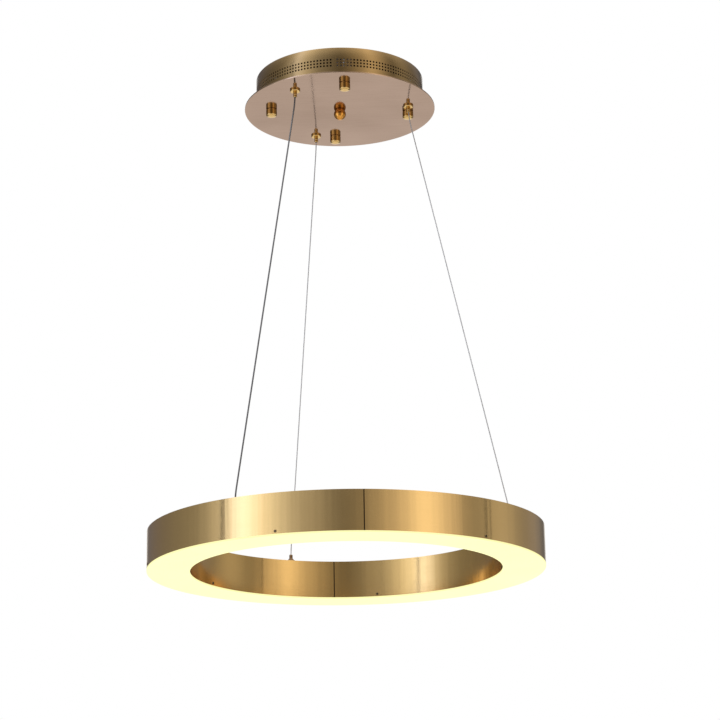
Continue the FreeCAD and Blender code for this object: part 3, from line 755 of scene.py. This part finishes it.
browned = toned_material("browned brass", spangle, (0.20, 0.14, 0.08), (0.10, 0.07, 0.04), 0.2, 0.35, 0.00001,
                         Metallic=1.0)
screw_groups = (
    ("outer", outer_radius, 1, [math.radians(-109 + 60 * i) for i in range(6)]),
    ("inner", inner_radius, -1, [math.radians(angle) for angle in (2, 78, 152, 222, 292)]))
for kind, radius, outwards, angles in screw_groups:
    screws = set_round(kind + "_button_screws", button_screw(outwards), radius, angles, browned,
                       height=screw_level)
    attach(screws, "ring")
    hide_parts(kind + "_band_screws")

# -------- wire anchors
# Turned brass sockets screwed into the channel, a flange and a nipple that the wire enters. A
# crimped ferrule on the wire's end sits in the shank, under the channel.

anchor_circle = 0.250
anchor_low, anchor_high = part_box("wire_anchors")
anchor_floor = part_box("top_channel_far")[1].z
anchor_flange = 0.0065
anchor_flange_top = anchor_floor + 0.0032
anchor_cone = 0.0056
anchor_cone_top = anchor_flange_top + 0.0030
nipple_radius = 0.00275
nipple_bevel_in = 0.0005
nipple_bevel_down = 0.0006
anchor_bevel_in = 0.0004
anchor_bevel_down = 0.0005
anchor_shank = 0.004
anchor_bore = 0.001375
ferrule_seat = 0.0026
ferrule_seat_top = anchor_low.z + 0.0052
bronzed = brushed_metal("bronzed brass", lathe_marks, (0.26, 0.150, 0.075), (0.16, 0.090, 0.045),
                        (0.62, 0.42, 0.22), 0.16, 0.28, 0.000005)
anchor = turned("anchor_socket", [
    (anchor_bore, anchor_high.z), (nipple_radius - nipple_bevel_in, anchor_high.z),
    (nipple_radius, anchor_high.z - nipple_bevel_down), (nipple_radius, anchor_cone_top),
    (anchor_cone, anchor_flange_top), (anchor_flange - anchor_bevel_in, anchor_flange_top),
    (anchor_flange, anchor_flange_top - anchor_bevel_down), (anchor_flange, anchor_floor),
    (anchor_shank, anchor_floor), (anchor_shank, anchor_low.z), (ferrule_seat, anchor_low.z),
    (ferrule_seat, ferrule_seat_top), (anchor_bore, ferrule_seat_top)],
    ease=0.0002, sides=40)
anchors = set_round("anchor_sockets", anchor, anchor_circle, list(grip_sides.values()), bronzed)
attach(anchors, "ring")
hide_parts("wire_anchors")

# -------- wires
# Two bare stainless ropes of six strands round a core, and on the left the thicker sheathed
# feed. Each is drawn straight by the ring's weight from its gripper to its anchor.

wire_top = -0.026
wire_upper_bend = underside - 0.018
wire_lower_bend = anchor_high.z + 0.005
wire_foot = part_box("wire_ferrules")[1].z
upper_reach = 0.0378        # extra points on the straights, this far from the upper bend
lower_reach = 0.0200        # and this far from the lower one
rope_diameter = 0.0018
feed_diameter = 0.0024
rope_lay = 0.011            # length of one turn of a strand
rope_steps = 12             # rings of corners in one turn of a strand
core_stride = 4             # the core has a ring at every fourth of them
sheath_step = 0.004
rope_core = 2.35            # core's radius in strand radii, with its plastic filling

rope_steel = toned_material("rope steel", spangle, (0.60, 0.60, 0.61), (0.52, 0.52, 0.54), 0.30, 0.42,
                            0.000004, Metallic=0.55)
sheath = toned_material("smoky sheath", moulding, (0.105, 0.105, 0.110), (0.075, 0.075, 0.080), 0.18, 0.30,
                        0.000004, Coat_Weight=0.4, Coat_Roughness=0.12)
dress(rope_steel, "wire_ferrules")


def wire_route(angle):
    """Corner points of a wire, the ones of its solid with one more on both sides of each bend."""
    upper = Vector((grip_circle, wire_upper_bend))
    lower = Vector((anchor_circle, wire_lower_bend))
    slant = (lower - upper).normalized()
    upright = Vector((0, 1))
    flat = [Vector((grip_circle, wire_top)), upper + upright * upper_reach, upper,
            upper + slant * upper_reach, lower - slant * lower_reach, lower,
            lower - upright * lower_reach, Vector((anchor_circle, wire_foot))]
    return [Vector(on_circle(place.x, angle, place.y)) for place in flat]


def smooth_line(points):
    """Points of the smooth curve that a route's points steer."""
    curve = bpy.data.curves.new("route", "CURVE")
    curve.dimensions = "3D"
    curve.resolution_u = 24
    spline = curve.splines.new("NURBS")
    spline.points.add(len(points) - 1)
    for place, point in zip(spline.points, points):
        place.co = (*point, 1.0)
    spline.order_u = 3
    spline.use_endpoint_u = True
    carrier = placed("route", curve)
    line = evaluated_mesh(carrier)
    found = [vertex.co.copy() for vertex in line.vertices]
    bpy.data.objects.remove(carrier)
    bpy.data.meshes.remove(line)
    return found


def stations(line, spacing):
    """Evenly spaced places and directions along a line."""
    lengths = [0.0]
    for first, second in zip(line, line[1:]):
        lengths.append(lengths[-1] + (second - first).length)
    count = max(2, int(round(lengths[-1] / spacing)))
    found, span = [], 0
    for step in range(count + 1):
        at = lengths[-1] * step / count
        while span < len(line) - 2 and lengths[span + 1] < at:
            span += 1
        part = (at - lengths[span]) / (lengths[span + 1] - lengths[span])
        direction = (line[span + 1] - line[span]).normalized()
        found.append((line[span].lerp(line[span + 1], part), direction, at))
    return found, lengths[-1]


def strand(build, places, radius, sides, offset=0.0, phase=0.0):
    """Round strand along a line, or wound about it at an offset with one turn in each rope_lay."""
    rings = []
    for place, direction, at in places:
        across = direction.orthogonal().normalized() if not rings else across_last
        across = (across - direction * across.dot(direction)).normalized()
        across_last = across
        beside = direction.cross(across)
        turn = phase + 2 * math.pi * at / rope_lay
        middle = place + (across * math.cos(turn) + beside * math.sin(turn)) * offset
        ring = []
        for i in range(sides):
            angle = 2 * math.pi * i / sides
            outwards = across * math.cos(angle) + beside * math.sin(angle)
            ring.append(build.verts.new(middle + outwards * radius))
        rings.append(ring)
    bridged(build, rings)
    build.faces.new(rings[0])
    build.faces.new(list(reversed(rings[-1])))


wires = (("far", "hanging_wire_far", rope_diameter, rope_steel, "wire_steel"),
         ("left", "feed_wire_left", feed_diameter, sheath, "feed_sheath"),
         ("right", "hanging_wire_right", rope_diameter, rope_steel, "wire_steel"))
for side, node, diameter, material, slot in wires:
    route = wire_route(grip_sides[side])
    line = smooth_line(route)
    build = bmesh.new()
    if slot == "wire_steel":
        places, length = stations(line, rope_lay / rope_steps)
        strand_radius = diameter / 6
        for i in range(6):
            strand(build, places, strand_radius, sides=5, offset=2 * strand_radius, phase=2 * math.pi * i / 6)
        strand(build, places[::core_stride] + places[-1:], rope_core * strand_radius, sides=12)
    else:
        places, length = stations(line, sheath_step)
        strand(build, places, 0.5 * diameter, sides=20)
    wire = mesh_object("taut_" + node, build)
    painted(wire, material)
    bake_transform(wire)
    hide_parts(node)

# -------- release springs
# A small coil in each gripper's cap presses the balls down on the plunger. It is hidden. In
# the real gripper it gets 2 mm shorter as the plunger is pushed in; here it has one length.

spring_wire = 0.0009
spring_radius = 0.0029
spring_turns = 5
spring_steps = 24           # corners of the coil's line in one turn
spring_spacing = 0.0008
coil_radius = spring_radius - 0.5 * spring_wire
drawn_radius = 0.49 * spring_wire       # a hair under half, so that the coil stays in its cap
spring_steel = toned_material("spring steel", spangle, (0.56, 0.56, 0.58), (0.44, 0.44, 0.46), 0.24, 0.36,
                              0.000004, Metallic=1.0)
for side, angle in grip_sides.items():
    low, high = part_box("release_spring_" + side)
    middle = Vector(on_circle(grip_circle, angle))
    travel = high.z - low.z - spring_wire
    steps = spring_steps * spring_turns
    coil_line = [middle + Vector(on_circle(coil_radius, 2 * math.pi * step / spring_steps,
                                           low.z + 0.5 * spring_wire + travel * step / steps))
                 for step in range(steps + 1)]
    build = bmesh.new()
    places, length = stations(coil_line, spring_spacing)
    strand(build, places, drawn_radius, sides=8)
    coil = mesh_object("coil_spring_" + side, build)
    painted(coil, spring_steel)
    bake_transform(coil)
    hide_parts("release_spring_" + side)

# -------- floor and studio
# A pale floor far below, and a plain studio round it: white behind the object, and soft boxes to
# the left and right of the viewer that the metal shows as its broad highlights.

floor_level = -2.4
floor_reach = 2.8
floor_fade_start = 0.84     # from here outwards the floor turns white to the eye
floor_fade_end = 2.66
disc_steps = 96


def disc(name, radius, height, upwards):
    """Flat round sheet at the origin's axis, its face up or down."""
    mesh = bpy.data.meshes.new(name)
    turn = 2 * math.pi * upwards / disc_steps
    rim = [on_circle(radius, turn * i, height) for i in range(disc_steps)]
    mesh.from_pydata(rim, [], [tuple(range(disc_steps))])
    return placed(name, mesh)


floor = disc("floor", floor_reach, floor_level, 1)
floor_paint, floor_shader = new_material("pale floor")
tree = floor_paint.node_tree
feed(tree, floor_shader, {"Base Color": (0.86, 0.86, 0.86, 1.0), "Roughness": 0.9})
flat = new_node(tree, "ShaderNodeVectorMath", {0: own_place(tree), 1: (1.0, 1.0, 0.0)}, operation="MULTIPLY")
outwards = new_node(tree, "ShaderNodeVectorMath", {0: flat.outputs[0]}, operation="LENGTH")
fade = smooth_step(tree, outwards.outputs["Value"], floor_fade_start, floor_fade_end)
rays = new_node(tree, "ShaderNodeLightPath")
white = new_node(tree, "ShaderNodeEmission", {"Color": (1.0, 1.0, 1.0, 1.0)})
either = new_node(tree, "ShaderNodeMixShader", {
    "Fac": reckoned(tree, "MULTIPLY", fade, rays.outputs["Is Camera Ray"]),
    1: floor_shader.outputs[0], 2: white.outputs[0]})
feed(tree, tree.nodes["Material Output"], {"Surface": either.outputs[0]})
painted(floor, floor_paint)

# A patch of shaded ceiling closes the drum's open top to a viewer below. From above it is clear.
patch_clearance = 0.0012
patch_share = 0.6           # of its darkness in what the metal mirrors
patch = disc("ceiling_patch", drum_radius - drum_wall - patch_clearance, drum_high.z, -1)
patch_paint, patch_shader = new_material("ceiling in the canopy's shade")
tree = patch_paint.node_tree
feed(tree, patch_shader, {"Base Color": (0.030, 0.018, 0.010, 1.0), "Roughness": 0.9})
clear = new_node(tree, "ShaderNodeBsdfTransparent")
rays = new_node(tree, "ShaderNodeLightPath")
side_seen = new_node(tree, "ShaderNodeNewGeometry")
shade_share = new_node(tree, "ShaderNodeMapRange", {
    "Value": rays.outputs["Is Camera Ray"], "To Min": patch_share})
from_below = new_node(tree, "ShaderNodeMath", {
    0: shade_share.outputs["Result"], 1: side_seen.outputs["Backfacing"]},
    operation="SUBTRACT", use_clamp=True)
either = new_node(tree, "ShaderNodeMixShader", {
    "Fac": from_below.outputs[0], 1: clear.outputs[0], 2: patch_shader.outputs[0]})
feed(tree, tree.nodes["Material Output"], {"Surface": either.outputs[0]})
painted(patch, patch_paint)

# Two dark lamp stands beside the viewer, which the bands show as thin dark lines.
stand_height = 3.0
stand_paint = toned_material("black stand paint", moulding, (0.02, 0.02, 0.02), (0.015, 0.015, 0.015),
                             0.6, 0.7, 0.0)
for side, place, stand_radius in (("left", (-0.914, -0.464), 0.017), ("right", (0.994, -0.265), 0.013)):
    build = bmesh.new()
    bmesh.ops.create_cone(build, cap_ends=True, segments=12, radius1=stand_radius, radius2=stand_radius,
                          depth=stand_height,
                          matrix=Matrix.Translation((*place, floor_level + 0.5 * stand_height)))
    stand = mesh_object("lamp_stand_" + side, build)
    painted(stand, stand_paint)
    stand.visible_camera = False
    stand.visible_shadow = False
    stand.visible_diffuse = False

studio = bpy.data.worlds.new("studio")
studio.use_nodes = True
scene.world = studio
tree = studio.node_tree
direction = new_node(tree, "ShaderNodeTexCoord")
axes = new_node(tree, "ShaderNodeSeparateXYZ", {"Vector": direction.outputs["Generated"]})
bearing = reckoned(tree, "ARCTAN2", axes.outputs["X"], reckoned(tree, "MULTIPLY", axes.outputs["Y"], -1.0))


def soft_box(centre, width):
    """Smooth lobe of light at a bearing from the viewer's side, in degrees, 1 in its middle."""
    away = reckoned(tree, "SUBTRACT", bearing, math.radians(centre))
    share = reckoned(tree, "DIVIDE", away, math.radians(width) * math.sqrt(2))
    squared = reckoned(tree, "MULTIPLY", share, share)
    return reckoned(tree, "EXPONENT", reckoned(tree, "MULTIPLY", squared, -1.0))


def added_light(total, lobe, colour):
    """Adds a coloured lobe to the light so far."""
    scaled = new_node(tree, "ShaderNodeVectorMath", {0: colour, "Scale": lobe}, operation="SCALE")
    both = new_node(tree, "ShaderNodeVectorMath", {0: scaled.outputs[0], 1: total}, operation="ADD")
    return both.outputs[0]


# Each light is a bearing and a width in degrees, and a colour.
overhead_from, overhead_full, overhead_strength = 0.45, 0.9, 0.75       # by the height of the ray's direction
backdrop_from, backdrop_full = math.radians(160), math.radians(172)     # mirrored as white from here round
light = (0.10, 0.10, 0.10)
left_boxes = ((-61, 6, (0.48, 0.62, 1.15)), (-54, 17, (1.20, 1.26, 1.34)), (-100, 22, (0.16, 0.16, 0.15)))
front_glow = ((-17, 9, (0.20, 0.20, 0.20)),)
right_boxes = ((39, 19, (0.68, 0.61, 0.50)), (46, 7, (0.52, 0.47, 0.39)), (61, 7, (0.30, 0.27, 0.23)))
right_wall = ((99, 15, (0.44, 0.42, 0.37)), (137, 12, (0.20, 0.19, 0.20)), (-145, 18, (0.07, 0.06, 0.07)))
for centre, width, colour in (*left_boxes, *front_glow, *right_boxes, *right_wall):
    light = added_light(light, soft_box(centre, width), colour)
overhead = smooth_step(tree, axes.outputs["Z"], overhead_from, overhead_full, overhead_strength)
light = added_light(light, overhead, (1.0, 1.0, 1.0))
rays = new_node(tree, "ShaderNodeLightPath")
behind = smooth_step(tree, reckoned(tree, "ABSOLUTE", bearing), backdrop_from, backdrop_full)
mirrored = reckoned(tree, "MULTIPLY", rays.outputs["Is Glossy Ray"], behind)
seen = reckoned(tree, "MAXIMUM", rays.outputs["Is Camera Ray"], rays.outputs["Is Transmission Ray"])
shown = mixed_colour(tree, reckoned(tree, "MAXIMUM", seen, mirrored), light, (1.0, 1.0, 1.0))
feed(tree, tree.nodes["Background"], {"Color": shown})

lamp_data = bpy.data.lights.new("overhead_soft_lamp", "AREA")
lamp_data.shape = "DISK"
lamp_data.size = 1.6
lamp_data.energy = 22.0
lamp = placed("overhead_soft_lamp", lamp_data)
lamp.location = (-0.9, -1.3, 1.1)
lamp.rotation_euler = (Vector((0, 0, -0.6)) - Vector(lamp.location)).to_track_quat("-Z", "Y").to_euler()
lamp.visible_glossy = False

# -------- camera
# Below the ring and in front of it, looking up, as the photograph was taken. Its place, angles
# and focal length were solved from the outlines of the ring and the canopy.

focal_pixels = 2147.4
frame_pixels = 720.0
camera_distance = 3.1967
camera_below_ring = 0.5915
pitch = math.radians(16.1113)
roll = math.radians(-0.9573)
yaw = math.radians(0.4598)

camera_data = bpy.data.cameras.new("camera")
camera_data.sensor_width = 36.0
camera_data.lens = focal_pixels / frame_pixels * camera_data.sensor_width
camera = placed("camera", camera_data)
forward = Vector((math.sin(yaw) * math.cos(pitch), math.cos(yaw) * math.cos(pitch), math.sin(pitch)))
level = Vector((math.cos(yaw), -math.sin(yaw), 0.0))
upright = level.cross(forward)
across = level * math.cos(roll) + upright * math.sin(roll)
above = upright * math.cos(roll) - level * math.sin(roll)
turn = Matrix((across, above, -forward)).transposed().to_4x4()
camera.matrix_world = Matrix.Translation((0, -camera_distance, ring_floor - camera_below_ring)) @ turn
scene.camera = camera
scene.view_settings.view_transform = "Standard"
